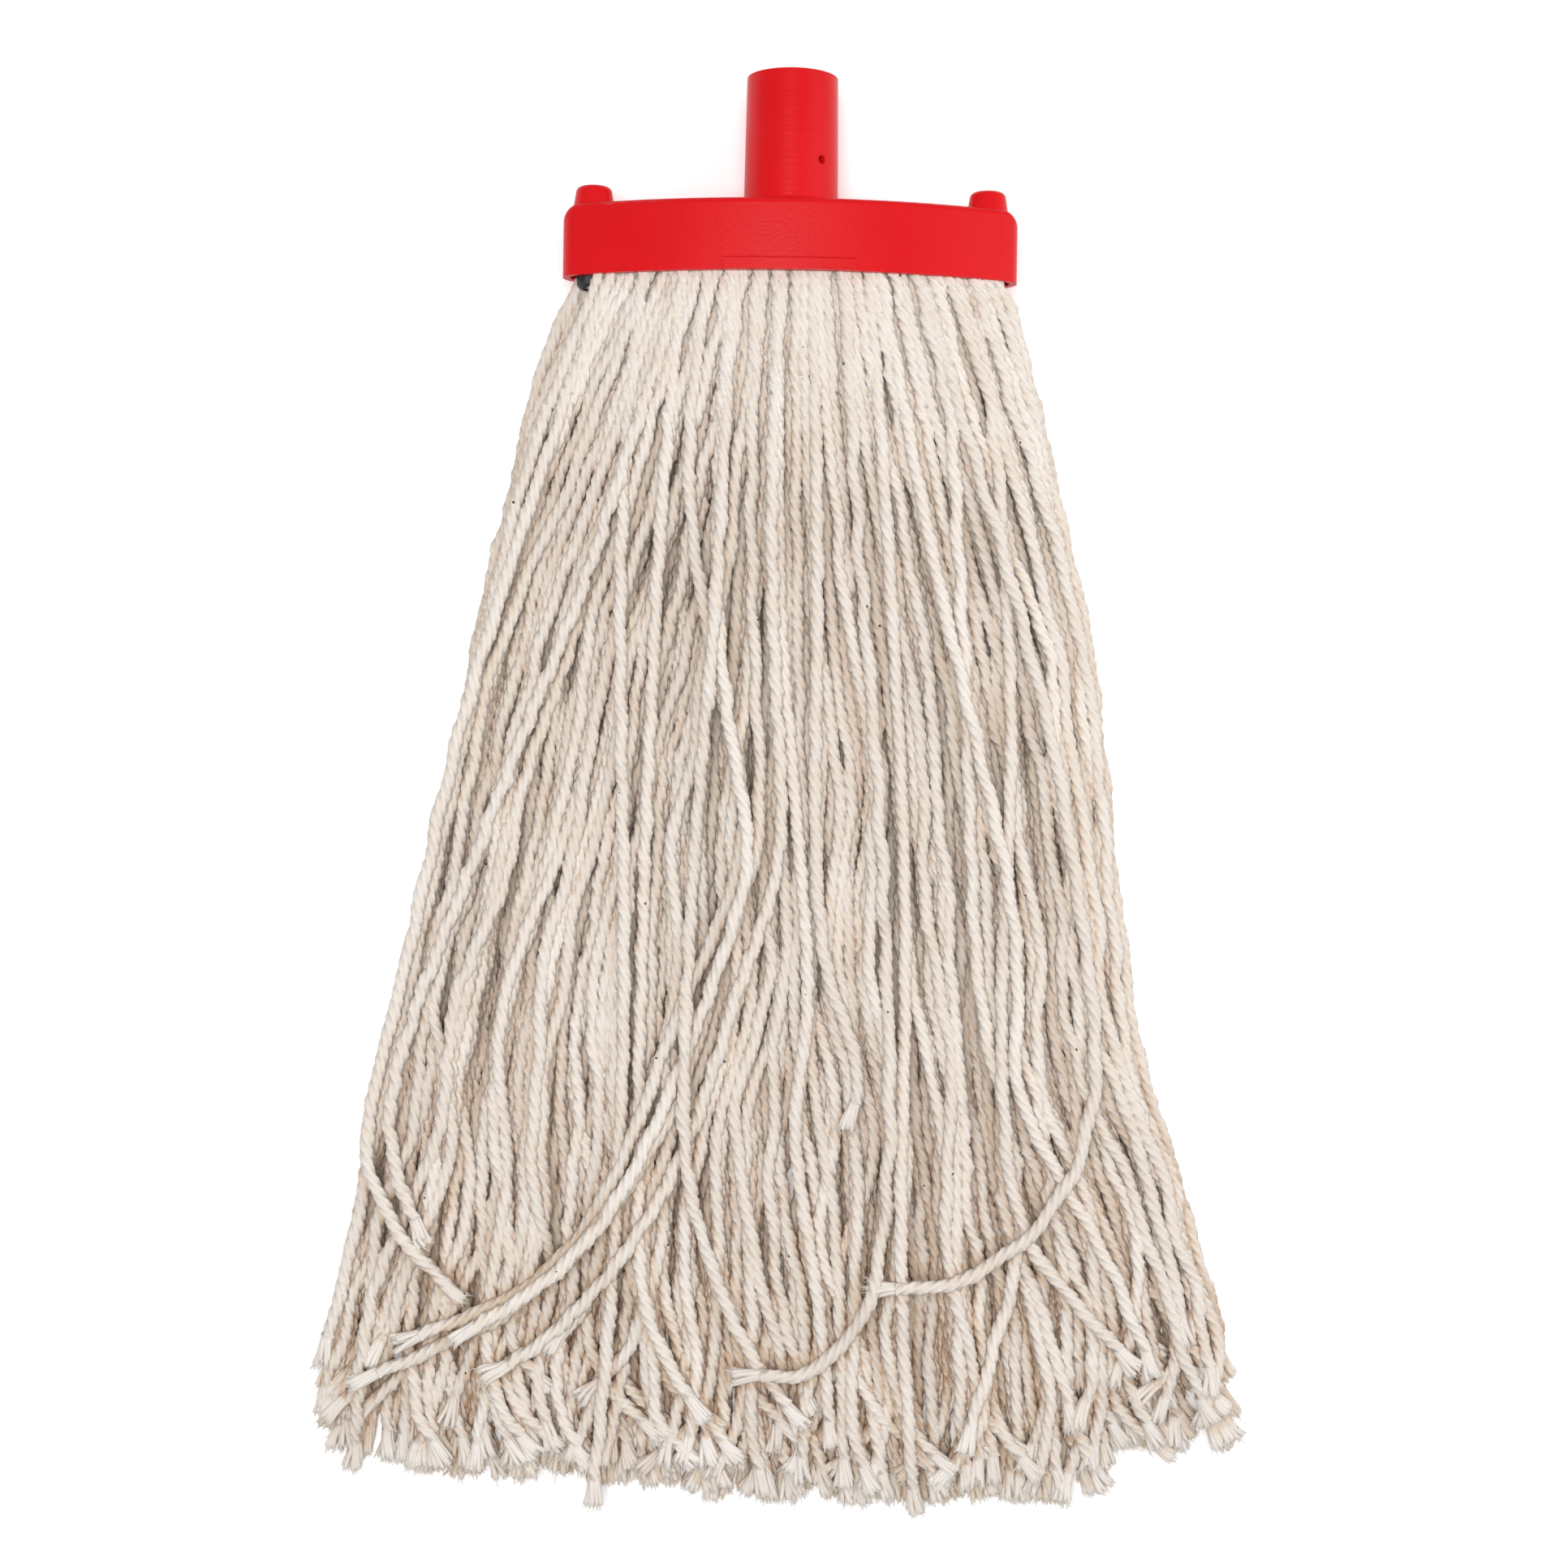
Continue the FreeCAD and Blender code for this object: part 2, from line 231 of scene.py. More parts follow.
def cotton():
    """Undyed cotton: cream, with fibres and seed specks. Painted shade makes it browner in the depth of the pile,
    between strands and in the grooves between plies, so the crowns of the plies look paler.
    """
    material, tree, shader = node_material("cotton_yarn")
    place = object_place(tree)
    yarn_place = add(tree, "ShaderNodeUVMap", uv_map="yarn").outputs["UV"]
    fibre_place = stretched(tree, yarn_place, FIBRE_SCALE)
    fibres = noise(tree, fibre_place, Scale=1.0, Detail=3.0, Roughness=0.6)
    patches = noise(tree, place, Scale=55.0, Detail=3.0, Roughness=0.6)
    colour = ramp(
        tree,
        patches,
        [(0.30, (0.865, 0.80, 0.74)), (0.52, (0.895, 0.855, 0.815)), (0.72, (0.915, 0.89, 0.865))],
    )
    streaks = ramp(tree, fibres, [(0.30, (0.93, 0.90, 0.865)), (0.62, (1, 1, 1))])
    colour = mix(tree, "MULTIPLY", 0.75, colour, streaks)
    tones = ramp(tree, attribute(tree, "tone"), [(0.0, (0.92, 0.90, 0.88)), (1.0, (1.0, 0.995, 0.99))])
    colour = mix(tree, "MULTIPLY", 1.0, colour, tones)
    # Painted shade: the deep, crevice and groove attributes brown and darken the cotton where the pile is shaded.
    for name, painted_shade_colour in (("deep", PAINTED_DEEP_SHADE), ("crevice", PAINTED_CREVICE_SHADE), ("groove", PAINTED_GROOVE_SHADE)):
        colour = mix(tree, "MULTIPLY", attribute(tree, name), colour, (*painted_shade_colour, 1))
    cells = add(tree, "ShaderNodeTexVoronoi", Scale=210.0, Randomness=1.0)
    tree.links.new(place, cells.inputs["Vector"])
    draw = add(tree, "ShaderNodeSeparateColor")
    tree.links.new(cells.outputs["Color"], draw.inputs[0])
    near = calculate(tree, "LESS_THAN", cells.outputs["Distance"], SPECK_RADIUS)
    chosen = calculate(tree, "LESS_THAN", draw.outputs[0], SPECK_SHARE)
    specks = calculate(tree, "MULTIPLY", near, chosen)
    colour = mix(tree, "MIX", specks, colour, (*SPECK_COLOUR, 1))
    fuzz = noise(tree, place, Scale=1300.0, Detail=4.0, Roughness=0.7)
    relief = calculate(tree, "ADD", fibres, fuzz)
    surface(tree, shader, {
        "Base Color": colour,
        "Roughness": 0.92,
        "Specular IOR Level": 0.18,
        "Sheen Weight": 0.12,
        "Sheen Roughness": 0.5,
        "Normal": bump(tree, relief, 0.45, 0.4 * MM),
    })
    return material


def cap_plastic():
    """Red moulded polypropylene, semi-gloss, with faint flow marks and drawn lines on the socket."""
    material, tree, shader = node_material("cap_plastic")
    place = object_place(tree)
    cloud = noise(tree, place, Scale=22.0, Detail=4.0, Roughness=0.55)
    drawn = noise(tree, stretched(tree, place, DRAWN_SCALE), Scale=1.0, Detail=2.0)
    grain = noise(tree, place, Scale=900.0, Detail=2.0)
    axes = add(tree, "ShaderNodeSeparateXYZ")
    tree.links.new(place, axes.inputs[0])
    on_socket = to_range(
        tree, axes.outputs["Y"], 0.0, DRAWN_SHARE, SOCKET_ROOT_Y, SOCKET_ROOT_Y + 4 * MM
    )
    relief = calculate(tree, "MULTIPLY_ADD", drawn, on_socket, grain)
    surface(tree, shader, {
        "Base Color": ramp(
            tree, cloud, [(0.35, (0.655, 0.0055, 0.0085)), (0.65, (0.685, 0.0070, 0.0105))]
        ),
        "Roughness": to_range(tree, cloud, 0.27, 0.42),
        "Specular IOR Level": 0.14,
        "Normal": bump(tree, relief, 0.2, 0.3 * MM),
    })
    return material


def bar_plastic():
    """Black moulded plastic with a fine grain."""
    material, tree, shader = node_material("bar_plastic")
    grain = noise(tree, object_place(tree), Scale=700.0, Detail=3.0)
    surface(tree, shader, {
        "Base Color": ramp(tree, grain, [(0.4, (0.012, 0.012, 0.014)), (0.8, (0.05, 0.048, 0.045))]),
        "Roughness": 0.5,
        "Normal": bump(tree, grain, 0.3, 0.2 * MM),
    })
    return material


def screw_steel():
    """Zinc-plated steel, slightly cloudy."""
    material, tree, shader = node_material("screw_steel")
    cloud = noise(tree, object_place(tree), Scale=500.0, Detail=3.0)
    surface(tree, shader, {
        "Base Color": ramp(tree, cloud, [(0.35, (0.50, 0.49, 0.46)), (0.7, (0.68, 0.68, 0.66))]),
        "Roughness": to_range(tree, cloud, 0.22, 0.42),
        "Metallic": 1.0,
    })
    return material


def floor_paper():
    """White paper, with a faint glow of its own that keeps the background white."""
    material, tree, shader = node_material("floor_paper")
    cloud = noise(tree, object_place(tree), Scale=3.0, Detail=2.0)
    surface(tree, shader, {
        "Base Color": ramp(tree, cloud, [(0.3, (0.98, 0.98, 0.98)), (0.7, (0.99, 0.99, 0.99))]),
        "Roughness": 0.9,
        "Specular IOR Level": 0.1,
        "Emission Color": (1, 1, 1, 1),
        "Emission Strength": 0.15,
    })
    return material


def paint_cad_nodes():
    """Gives the cap, the bar and the screws their materials, by the record's slots."""
    finishes = {make.__name__: make() for make in (cap_plastic, bar_plastic, screw_steel)}
    for part in frame["record"]["subparts"]:
        if part["material_slot"] in finishes:
            node = frame["nodes"][part["node"]]
            node.data.materials.clear()
            node.data.materials.append(finishes[part["material_slot"]])


# ---------------------------------------------------------------- routes of the strands


def skirt_half_width(beyond, side):
    """Half-width of the skirt: side is negative on the left and positive on the right."""
    left = np.interp(beyond / MM, OUTLINE_AT, OUTLINE_LEFT) * MM
    right = np.interp(beyond / MM, OUTLINE_AT, OUTLINE_RIGHT) * MM
    return np.where(np.asarray(side) < 0, left, right)


def smoothstep(x):
    """Rises smoothly from 0 at x = 0 to 1 at x = 1."""
    x = np.clip(x, 0, 1)
    return x * x * (3 - 2 * x)


def inner_depth(x):
    """Half the room inside the channel at x, between its two walls, which are arcs."""
    arc = math.sqrt(INNER_RADIUS**2 - x * x) - INNER_OFFSET
    return max(arc, 4 * MM)


def spline_through(points):
    """The smooth line of a NURBS spline with these control points, as an array of points."""
    curve = bpy.data.curves.new("route", "CURVE")
    curve.dimensions = "3D"
    spline = curve.splines.new("NURBS")
    spline.points.add(len(points) - 1)
    for point, place in zip(spline.points, points):
        point.co = (*place, 1)
    spline.order_u = 3
    spline.use_endpoint_u = True
    spline.resolution_u = 6
    holder = bpy.data.objects.new("route", curve)
    mesh = bpy.data.meshes.new_from_object(holder)
    line = np.array([vertex.co for vertex in mesh.vertices], float)
    bpy.data.objects.remove(holder)
    bpy.data.curves.remove(curve)
    bpy.data.meshes.remove(mesh)
    return line


def evenly(line, step):
    """Points along a line, a fixed step apart, with its two ends."""
    steps = np.linalg.norm(np.diff(line, axis=0), axis=1)
    distance = np.concatenate([[0], np.cumsum(steps)])
    count = max(4, int(round(distance[-1] / step)) + 1)
    wanted = np.linspace(0, distance[-1], count)
    return np.stack([np.interp(wanted, distance, line[:, k]) for k in range(3)], axis=1)


def wander(distance, envelope, wavelengths, share):
    """A gentle random wave along a strand."""
    wave = np.zeros_like(distance)
    for wavelength in wavelengths:
        phase = rng.uniform(0, 2 * math.pi)
        wave += rng.normal(0, 1) * np.sin(2 * math.pi * distance / wavelength + phase)
    return wave * envelope * share / math.sqrt(len(wavelengths))


class Sway:
    """A smooth sideways push that neighbouring strands share, so they lie in locks."""

    def __init__(self, push):
        self.push = push
        self.waves = [
            (
                rng.choice([-1, 1]) * 2 * math.pi / rng.uniform(70, 220) / MM,
                2 * math.pi / rng.uniform(75, 260) / MM,
                rng.uniform(0, 2 * math.pi),
            )
            for _ in range(7)
        ]

    def at(self, x, y):
        total = sum(np.sin(kx * x + ky * y + phase) for kx, ky, phase in self.waves)
        return self.push * total / math.sqrt(len(self.waves) / 2)


def setback_of(share):
    """How far a strand's tip lies behind the lowest one: less in the middle, most on the right."""
    right = 28 * MM * smoothstep((share - 0.60) / 0.16)
    left = 7 * MM * smoothstep((-share - 0.15) / 0.25) + 11 * MM * smoothstep((-share - 0.72) / 0.2)
    return 5 * MM + right + left + rng.exponential(7 * MM)


def fan_route(share0, share1, drift, high, sway):
    """A strand's plan from inside the mouth to its tip, as (x, y) control points.
    The shares are its places across the skirt at the mouth and further on, from -1 to 1, and
    drift is how much it changes place beyond that. high is 0 in the lower lay and up to 1 on
    top of the upper one.
    """
    setback = setback_of(share1) * (1 if high > 0 else 0.7)
    if high > 0 and rng.uniform() < 0.3:
        setback += rng.uniform(4, 40) * MM
    end = REACH - min(setback, LARGEST_SETBACK)
    beyond = np.arange(-START_INSIDE, end - TAIL_LENGTH, CONTROL_STEP)
    spread = rng.uniform(130, 190) * MM * (1 - 0.6 * abs(share1) ** 6)
    share = share0 + (share1 - share0) * smoothstep((beyond + 4 * MM) / spread)
    share += drift * smoothstep((beyond - rng.uniform(20, 90) * MM) / (180 * MM))
    share *= 1 - (1 - INSIDE_SHARE) * smoothstep(-beyond / START_INSIDE)
    x = np.clip(share, -1, 1) * (skirt_half_width(np.maximum(beyond, 0), share) - STRAND_RADIUS)
    free = np.clip(beyond / FREE_LENGTH, 0, 1)
    loose = 0.4 if high == 0 else 1.0
    x += sway.at(x, beyond) * free**0.6 * (1 - abs(share1) ** 4)
    x += wander(beyond, (0.4 * MM + 4.5 * MM * free**1.6) * loose, (85 * MM, 120 * MM, 240 * MM), 0.85)
    x += wander(beyond, 0.35 * MM + 2.2 * MM * free**0.6, (33 * MM, 45 * MM, 66 * MM), 0.9)
    x += rng.normal(0, 7 * MM) * loose * smoothstep((beyond - 250 * MM) / (170 * MM))
    limit = skirt_half_width(np.maximum(beyond, 0), x) - STRAND_RADIUS * (0.4 + 0.6 * rng.uniform())
    x = np.clip(x, -limit, limit)
    points = [(a, MOUTH_Y - b) for a, b in zip(x, beyond)]
    heading = math.atan2(points[-1][0] - points[-4][0], points[-4][1] - points[-1][1])
    turn = rng.normal(0, 0.22) * loose
    left = end - beyond[-1]
    for _ in range(TAIL_BENDS):
        heading = np.clip(heading + turn, -0.9, 0.9)
        px, py = points[-1]
        px += math.sin(heading) * left / TAIL_BENDS
        edge = float(skirt_half_width(MOUTH_Y - py, px)) + 1 * MM
        py_next = py - math.cos(heading) * left / TAIL_BENDS
        points.append((float(np.clip(px, -edge, edge)), py_next))
    return points


def fan_strands():
    """Every strand of the fan, lowest first: (plan, height in the mouth, is it in the upper lay).
    The lower lay has one row more than the upper."""
    places = []
    for column in range(COLUMNS):
        x0 = (column - (COLUMNS - 1) / 2) * COLUMN_PITCH
        depth = inner_depth(x0)
        rows = max(1, round((depth - BAR_HALF_THICKNESS) / ROW_PITCH))
        outer = max(depth - STRAND_RADIUS, 1.6 * MM)
        inner = min(BAR_HALF_THICKNESS + STRAND_RADIUS * 0.9, outer)
        for side, count in ((-1, rows + 1), (1, rows)):
            for row in range(count):
                height = outer if count == 1 else inner + (outer - inner) * row / (count - 1)
                shift = (0.25 if (row + column) % 2 else -0.25) * COLUMN_PITCH * (count > 1)
                places.append((x0 + shift + rng.normal(0, 0.2 * MM), side, height, (row + 1) / count))
    strands = []
    widest = (COLUMNS - 1) / 2 * COLUMN_PITCH
    for side, push in ((-1, 1.2 * MM), (1, 3.2 * MM)):
        sway = Sway(push)
        lay = sorted(place for place in places if place[1] == side)
        for rank, (x0, _, height, high) in enumerate(lay):
            on_left = x0 < 0 and side > 0
            share0 = np.clip(x0 / widest, -1, 1) * (MOUTH_SHARE_LEFT if on_left else MOUTH_SHARE_RIGHT)
            share1 = ((rank + 0.5) / len(lay) * 2 - 1) * 0.985
            if side > 0:
                drift = 0.22 * math.sin(math.pi * share1) * high * rng.uniform(0, 1)
                drift += rng.normal(0, 0.09 if rng.uniform() < 0.2 else 0.018)
            else:
                drift = rng.normal(0, 0.008)
            plan = fan_route(share0, share1, drift, high if side > 0 else 0, sway)
            strands.append((plan, AXIS_Z + side * height, side > 0))
    strands.sort(key=lambda strand: strand[1] + rng.normal(0, 0.8 * MM))
    return strands


# The strands that stand out on top of the skirt, as (x, y) in millimetres
TOP_ROUTES = [
    [(-4, 186), (-4, 84), (5, -3), (12, -72), (5, -109), (9, -141), (17, -181), (21, -230)],
    [(7, 186), (12, 84), (11, -3), (15, -60), (28, -86), (30, -109), (23, -115)],
    [(-62, 185), (-90, 122), (-103, 65), (-116, 1), (-127, -48), (-135, -92), (-144, -126),
     (-151, -167), (-160, -202)],
    [(-50, 185), (-58, 111), (-57, 25), (-54, -61), (-56, -148), (-60, -211), (-64, -252)],
    [(-36, 185), (-43, 112), (-47, 25), (-49, -61), (-49, -133), (-47, -188), (-23, -219)],
    [(51, 187), (61, 85), (66, -2), (70, -74), (85, -122), (87, -163), (76, -195), (67, -229)],
    [(62, 187), (75, 114), (81, 27), (78, -45), (78, -111), (87, -154), (106, -174), (129, -199)],
    [(-33, 185), (-60, 100), (-91, 24), (-110, -28), (-124, -63), (-136, -100), (-137, -129),
     (-122, -158)],
    [(-59, 185), (-83, 123), (-105, 53), (-120, -5), (-132, -63), (-144, -112), (-145, -132),
     (-131, -155), (-109, -178)],
    [(29, 186), (42, 125), (62, 42), (80, -24), (85, -70), (80, -94), (96, -125), (120, -162),
     (135, -202)],
    [(-27, 186), (-34, 141), (-34, 100), (-25, 49), (-11, 0), (-17, -35), (-37, -76), (-48, -113),
     (-67, -154), (-96, -180), (-136, -193)],
    [(-11, 186), (-13, 112), (-10, 40), (-6, -14), (-23, -61), (-31, -98), (-48, -130), (-73, -163),
     (-104, -189), (-150, -207)],
    [(-19, 186), (-24, 120), (-24, 60), (-15, 5), (-9, -20), (-24, -66), (-38, -103), (-56, -143),
     (-82, -172), (-114, -190)],
    [(-3, 186), (-6, 110), (-3, 40), (2, -20), (-15, -66), (-25, -103), (-38, -136), (-62, -172),
     (-88, -198), (-104, -204)],
    [(-20, 186), (-22, 83), (-30, -3), (-33, -75), (-33, -133), (-22, -165), (-13, -190), (12, -222)],
    [(26, 186), (34, 110), (41, 27), (45, -60), (43, -140), (46, -200), (51, -253)],
    [(42, 187), (56, 148), (75, 91), (94, 28), (105, -36), (113, -87), (109, -118), (97, -142),
     (78, -161), (57, -170), (31, -169)],
    [(18, 186), (23, 113), (32, 27), (38, -60), (40, -132), (35, -175), (20, -197), (3, -204),
     (-16, -201)],
]


def top_strands():
    """The strands with routes of their own: they leave the mouth along its upper edge."""
    strands = []
    for route in TOP_ROUTES:
        x0 = route[0][0] * MM
        plan = [(x0, MOUTH_Y + START_INSIDE)] + [(x * MM, y * MM) for x, y in route[1:]]
        height = AXIS_Z + max(inner_depth(x0) - STRAND_RADIUS, 2 * MM)
        strands.append((plan, height, True))
    return strands


class Pile:
    """A height map of the strands laid so far. Each new strand rests on those below it."""

    CELL = 1 * MM
    SINK = 0.6 * MM
    TOP_SINK = 0.5 * MM
    SETTLE = 100 * MM
    CREST_REACH = 3
    SMOOTH_REACH = 9
    HALF_WIDTH = 210 * MM
    PAST_TIPS, PAST_MOUTH = 30 * MM, 20 * MM

    def __init__(self):
        self.low = np.array([-self.HALF_WIDTH, TIP_Y - self.PAST_TIPS])
        high = np.array([self.HALF_WIDTH, MOUTH_Y + self.PAST_MOUTH])
        size = np.ceil((high - self.low) / self.CELL).astype(int)
        self.top = np.zeros(size)
        reach = int(STRAND_RADIUS / self.CELL)
        grid = np.arange(-reach, reach + 1) * self.CELL
        dx, dy = (a.ravel() for a in np.meshgrid(grid, grid))
        inside = dx**2 + dy**2 < STRAND_RADIUS**2
        self.offsets = np.stack([dx[inside], dy[inside]], axis=1)
        self.ball = np.sqrt(STRAND_RADIUS**2 - (self.offsets**2).sum(1))

    def cells_at(self, places):
        """The cells, as two arrays of indices, that hold these (x, y) places."""
        at = ((places - self.low) / self.CELL).astype(int)
        last = np.array(self.top.shape) - 1
        return np.clip(at[..., 0], 0, last[0]), np.clip(at[..., 1], 0, last[1])

    def lay(self, line, mouth_height, on_top):
        """Gives the line its heights and adds the strand to the pile. The strands on top rest on
        what is highest below them, and the others sink a little between their neighbours."""
        i, j = self.cells_at(line[:, None, :2] + self.offsets[None])
        touch = self.top[i, j] + self.ball
        if on_top:
            rest = touch.max(1) - self.TOP_SINK
            padded = np.pad(rest, self.CREST_REACH, mode="edge")
            rest = np.lib.stride_tricks.sliding_window_view(padded, 2 * self.CREST_REACH + 1).max(1)
        else:
            rest = 0.45 * touch.max(1) + 0.55 * touch.mean(1) - self.SINK
        padded = np.pad(rest, self.SMOOTH_REACH, mode="edge")
        window = np.hanning(2 * self.SMOOTH_REACH + 3)[1:-1]
        rest = np.convolve(padded, window / window.sum(), mode="valid")
        rest = np.maximum(rest, STRAND_RADIUS)
        away = smoothstep((MOUTH_Y - line[:, 1]) / self.SETTLE)
        line = line.copy()
        line[:, 2] = mouth_height + (rest - mouth_height) * away
        np.maximum.at(self.top, (i, j), line[:, 2][:, None] + self.ball)
        return line

    def cover(self):
        """The pile's upper envelope: the highest strand within a few cells of each cell."""
        envelope = self.top
        for _ in range(3):
            grown = envelope.copy()
            for axis in (0, 1):
                for step in (-1, 1):
                    grown = np.maximum(grown, np.roll(envelope, step, axis))
            envelope = grown
        return envelope

    def depth_below(self, points, envelope):
        """How far points lie under the envelope."""
        i, j = self.cells_at(points[..., :2])
        return np.maximum(envelope[i, j] - points[..., 2], 0)


def settle(fan, top):
    """Lays the strands one after another. Returns (centre line, is it upper) for each, and the
    pile that they make."""
    pile = Pile()
    laid = []
    for number, (plan, height, upper) in enumerate(fan + top):
        plan_line = spline_through([(x, y, 0) for x, y in plan])
        line = pile.lay(evenly(plan_line, 2 * MM), height, number >= len(fan))
        laid.append((spline_through(evenly(line, CONTROL_STEP)), upper))
    return laid, pile


# ---------------------------------------------------------------- strand meshes


def ply_profile():
    """The outline of four plies laid together: radius as a share of the strand's, and how deep
    in a groove each point lies."""
    offset, ply = 0.53, 0.47
    angles = (np.arange(POINTS_PER_PLY) / POINTS_PER_PLY - 0.5) * 2 * math.pi / PLIES
    reach = offset * np.cos(angles) + np.sqrt(ply**2 - (offset * np.sin(angles)) ** 2)
    reach = reach / reach.max()
    groove = (1 - reach) / (1 - reach.min())
    reach = 1 - PLY_RELIEF * (1 - reach)
    return np.tile(reach, PLIES), np.tile(groove, PLIES)


# GROOVE also sets how much painted groove shade each point of a ring takes.
PROFILE, GROOVE = ply_profile()
RING = len(PROFILE)


def frames(line):
    """Tangents, and two directions square to them, at each point of a line."""
    tangent = np.gradient(line, axis=0)
    tangent /= np.linalg.norm(tangent, axis=1)[:, None]
    across = np.cross(tangent, [0, 0, 1])
    across /= np.linalg.norm(across, axis=1)[:, None]
    return tangent, across, np.cross(across, tangent)


def depth_tints(points, rise, below):
    """How strongly each point takes the painted deep shade and the painted crevice shade, brown painted in where
    the pile is shaded. rise is its height above the middle of its own strand, in strand radii, and below is its
    depth in the pile. Undersides get less painted deep shade, and the painted crevice shade sits at half height,
    where a strand touches the next. Both grow towards the tips.
    """
    tipwards = smoothstep((MOUTH_Y - TIPWARDS_FROM - points[:, 1]) / TIPWARDS_OVER)
    deep = smoothstep((below - PAINTED_SHADE_FROM) / DEEP_OVER)
    deep *= DEEP_AT_MOUTH + (1 - DEEP_AT_MOUTH) * tipwards
    deep *= smoothstep((rise + 0.7) / 0.6)
    crevice = smoothstep((below - PAINTED_SHADE_FROM) / CREVICE_OVER)
    crevice *= CREVICE_AT_MOUTH + (1 - CREVICE_AT_MOUTH) * tipwards
    crevice *= 1 - smoothstep(abs(rise) * 1.15)
    return deep, crevice


class MeshParts:
    """Collects faces with their strand coordinates, tone, groove and rise above the strand's
    middle, for one mesh."""

    def __init__(self):
        self.points, self.quads, self.triangles = [], [], []
        self.quad_uv, self.triangle_uv = [], []
        self.tone, self.groove, self.rise = [], [], []
        self.count = 0

    def add(self, points, quads, quad_uv, triangles, triangle_uv, tone, groove, rise):
        """Adds faces whose indices count from the first of these points."""
        self.points.append(points)
        self.quads.append(quads + self.count)
        self.quad_uv.append(quad_uv)
        self.triangles.append(triangles + self.count)
        self.triangle_uv.append(triangle_uv)
        self.tone.append(np.full(len(points), tone))
        self.groove.append(groove)
        self.rise.append(rise)
        self.count += len(points)

    def build(self, name, material, pile, envelope):
        """One mesh piece of everything collected, with painted shade by its depth in the pile."""
        points = np.concatenate(self.points)
        quads = np.concatenate(self.quads)
        triangles = np.concatenate(self.triangles)
        corners = np.concatenate([quads.ravel(), triangles.ravel()]).astype(np.int32)
        totals = np.concatenate([np.full(len(quads), 4), np.full(len(triangles), 3)]).astype(np.int32)
        starts = np.concatenate([[0], np.cumsum(totals)[:-1]]).astype(np.int32)
        mesh = bpy.data.meshes.new(name)
        mesh.vertices.add(len(points))
        mesh.vertices.foreach_set("co", points.astype(np.float32).ravel())
        mesh.loops.add(len(corners))
        mesh.loops.foreach_set("vertex_index", corners)
        mesh.polygons.add(len(totals))
        mesh.polygons.foreach_set("loop_start", starts)
        mesh.polygons.foreach_set("loop_total", totals)
        mesh.polygons.foreach_set("use_smooth", np.ones(len(totals), bool))
        mesh.update(calc_edges=True)
        uv = np.concatenate([np.concatenate(self.quad_uv).ravel(), np.concatenate(self.triangle_uv).ravel()])
        layer = mesh.uv_layers.new(name="yarn")
        layer.data.foreach_set("uv", uv.astype(np.float32))
        tone, groove = np.concatenate(self.tone), np.concatenate(self.groove)
        # Painted shade: deep and crevice say how strongly the cotton is browned by its depth in the pile.
        below = pile.depth_below(points, envelope)
        deep, crevice = depth_tints(points, np.concatenate(self.rise), below)
        for key, values in (("tone", tone), ("groove", groove), ("deep", deep), ("crevice", crevice)):
            layer = mesh.attributes.new(key, "FLOAT", "POINT")
            layer.data.foreach_set("value", values.astype(np.float32))
        mesh.materials.append(material)
        mesh.validate()
        piece = bpy.data.objects.new(name, mesh)
        bpy.context.scene.collection.objects.link(piece)
        return piece


def tube_faces(rings, ring, closed_start, closed_end):
    """Quads along a tube, and triangles that close its ends onto two extra points."""
    k = np.arange(rings - 1)[:, None] * ring
    j = np.arange(ring)[None]
    after = (j + 1) % ring
    quads = np.stack([k + j, k + after, k + ring + after, k + ring + j], axis=-1).reshape(-1, 4)
    triangles = []
    first, last = rings * ring, rings * ring + 1
    for corner in range(ring):
        follow = (corner + 1) % ring
        if closed_start:
            triangles.append((first, follow, corner))
        if closed_end:
            base = (rings - 1) * ring
            triangles.append((last, base + corner, base + follow))
    return quads, np.array(triangles, int).reshape(-1, 3)


def along(line):
    """The distance of each point of a line from its start."""
    return np.concatenate([[0], np.cumsum(np.linalg.norm(np.diff(line, axis=0), axis=1))])


def lumps(distance):
    """How much thicker or thinner one ply is along its length."""
    waves = [(rng.uniform(6, 24) * MM, rng.uniform(0, 2 * math.pi)) for _ in range(3)]
    return sum(0.048 * np.sin(distance * 2 * math.pi / length + phase) for length, phase in waves)


def crinkled(line):
    """The line with the small bends that relaxed yarn keeps."""
    _, across, up = frames(line)
    distance = along(line)
    for direction, size in ((across, 0.19 * MM), (up, 0.14 * MM)):
        for _ in range(4):
            bend = rng.normal(0, size) * np.sin(
                distance * 2 * math.pi / (rng.uniform(10, 34) * MM) + rng.uniform(0, 2 * math.pi)
            )
            line = line + direction * bend[:, None]
    return line


def twisted_rings(line, phase, wave):
    """The rings of four-ply yarn along a line: points, and the distance of each ring."""
    _, across, up = frames(line)
    distance = along(line)
    swell = 1 + (END_SWELL - 1) * smoothstep(distance / distance[-1])
    radius = STRAND_RADIUS * swell * (1 + wave(distance))
    turn = phase + 2 * math.pi * distance / LAY_LENGTH
    angle = turn[:, None] + np.arange(RING)[None] * 2 * math.pi / RING
    reach = radius[:, None] * PROFILE[None]
    for ply in range(PLIES):
        corners = slice(ply * POINTS_PER_PLY, (ply + 1) * POINTS_PER_PLY)
        reach[:, corners] *= 1 + lumps(distance)[:, None]
    reach = reach * (1 + rng.normal(0, 0.028, reach.shape))
    points = (
        line[:, None]
        + across[:, None] * (np.cos(angle) * reach)[..., None]
        + up[:, None] * (np.sin(angle) * reach)[..., None]
    )
    points[..., 2] = np.maximum(points[..., 2], 0.15 * MM)
    return points, distance


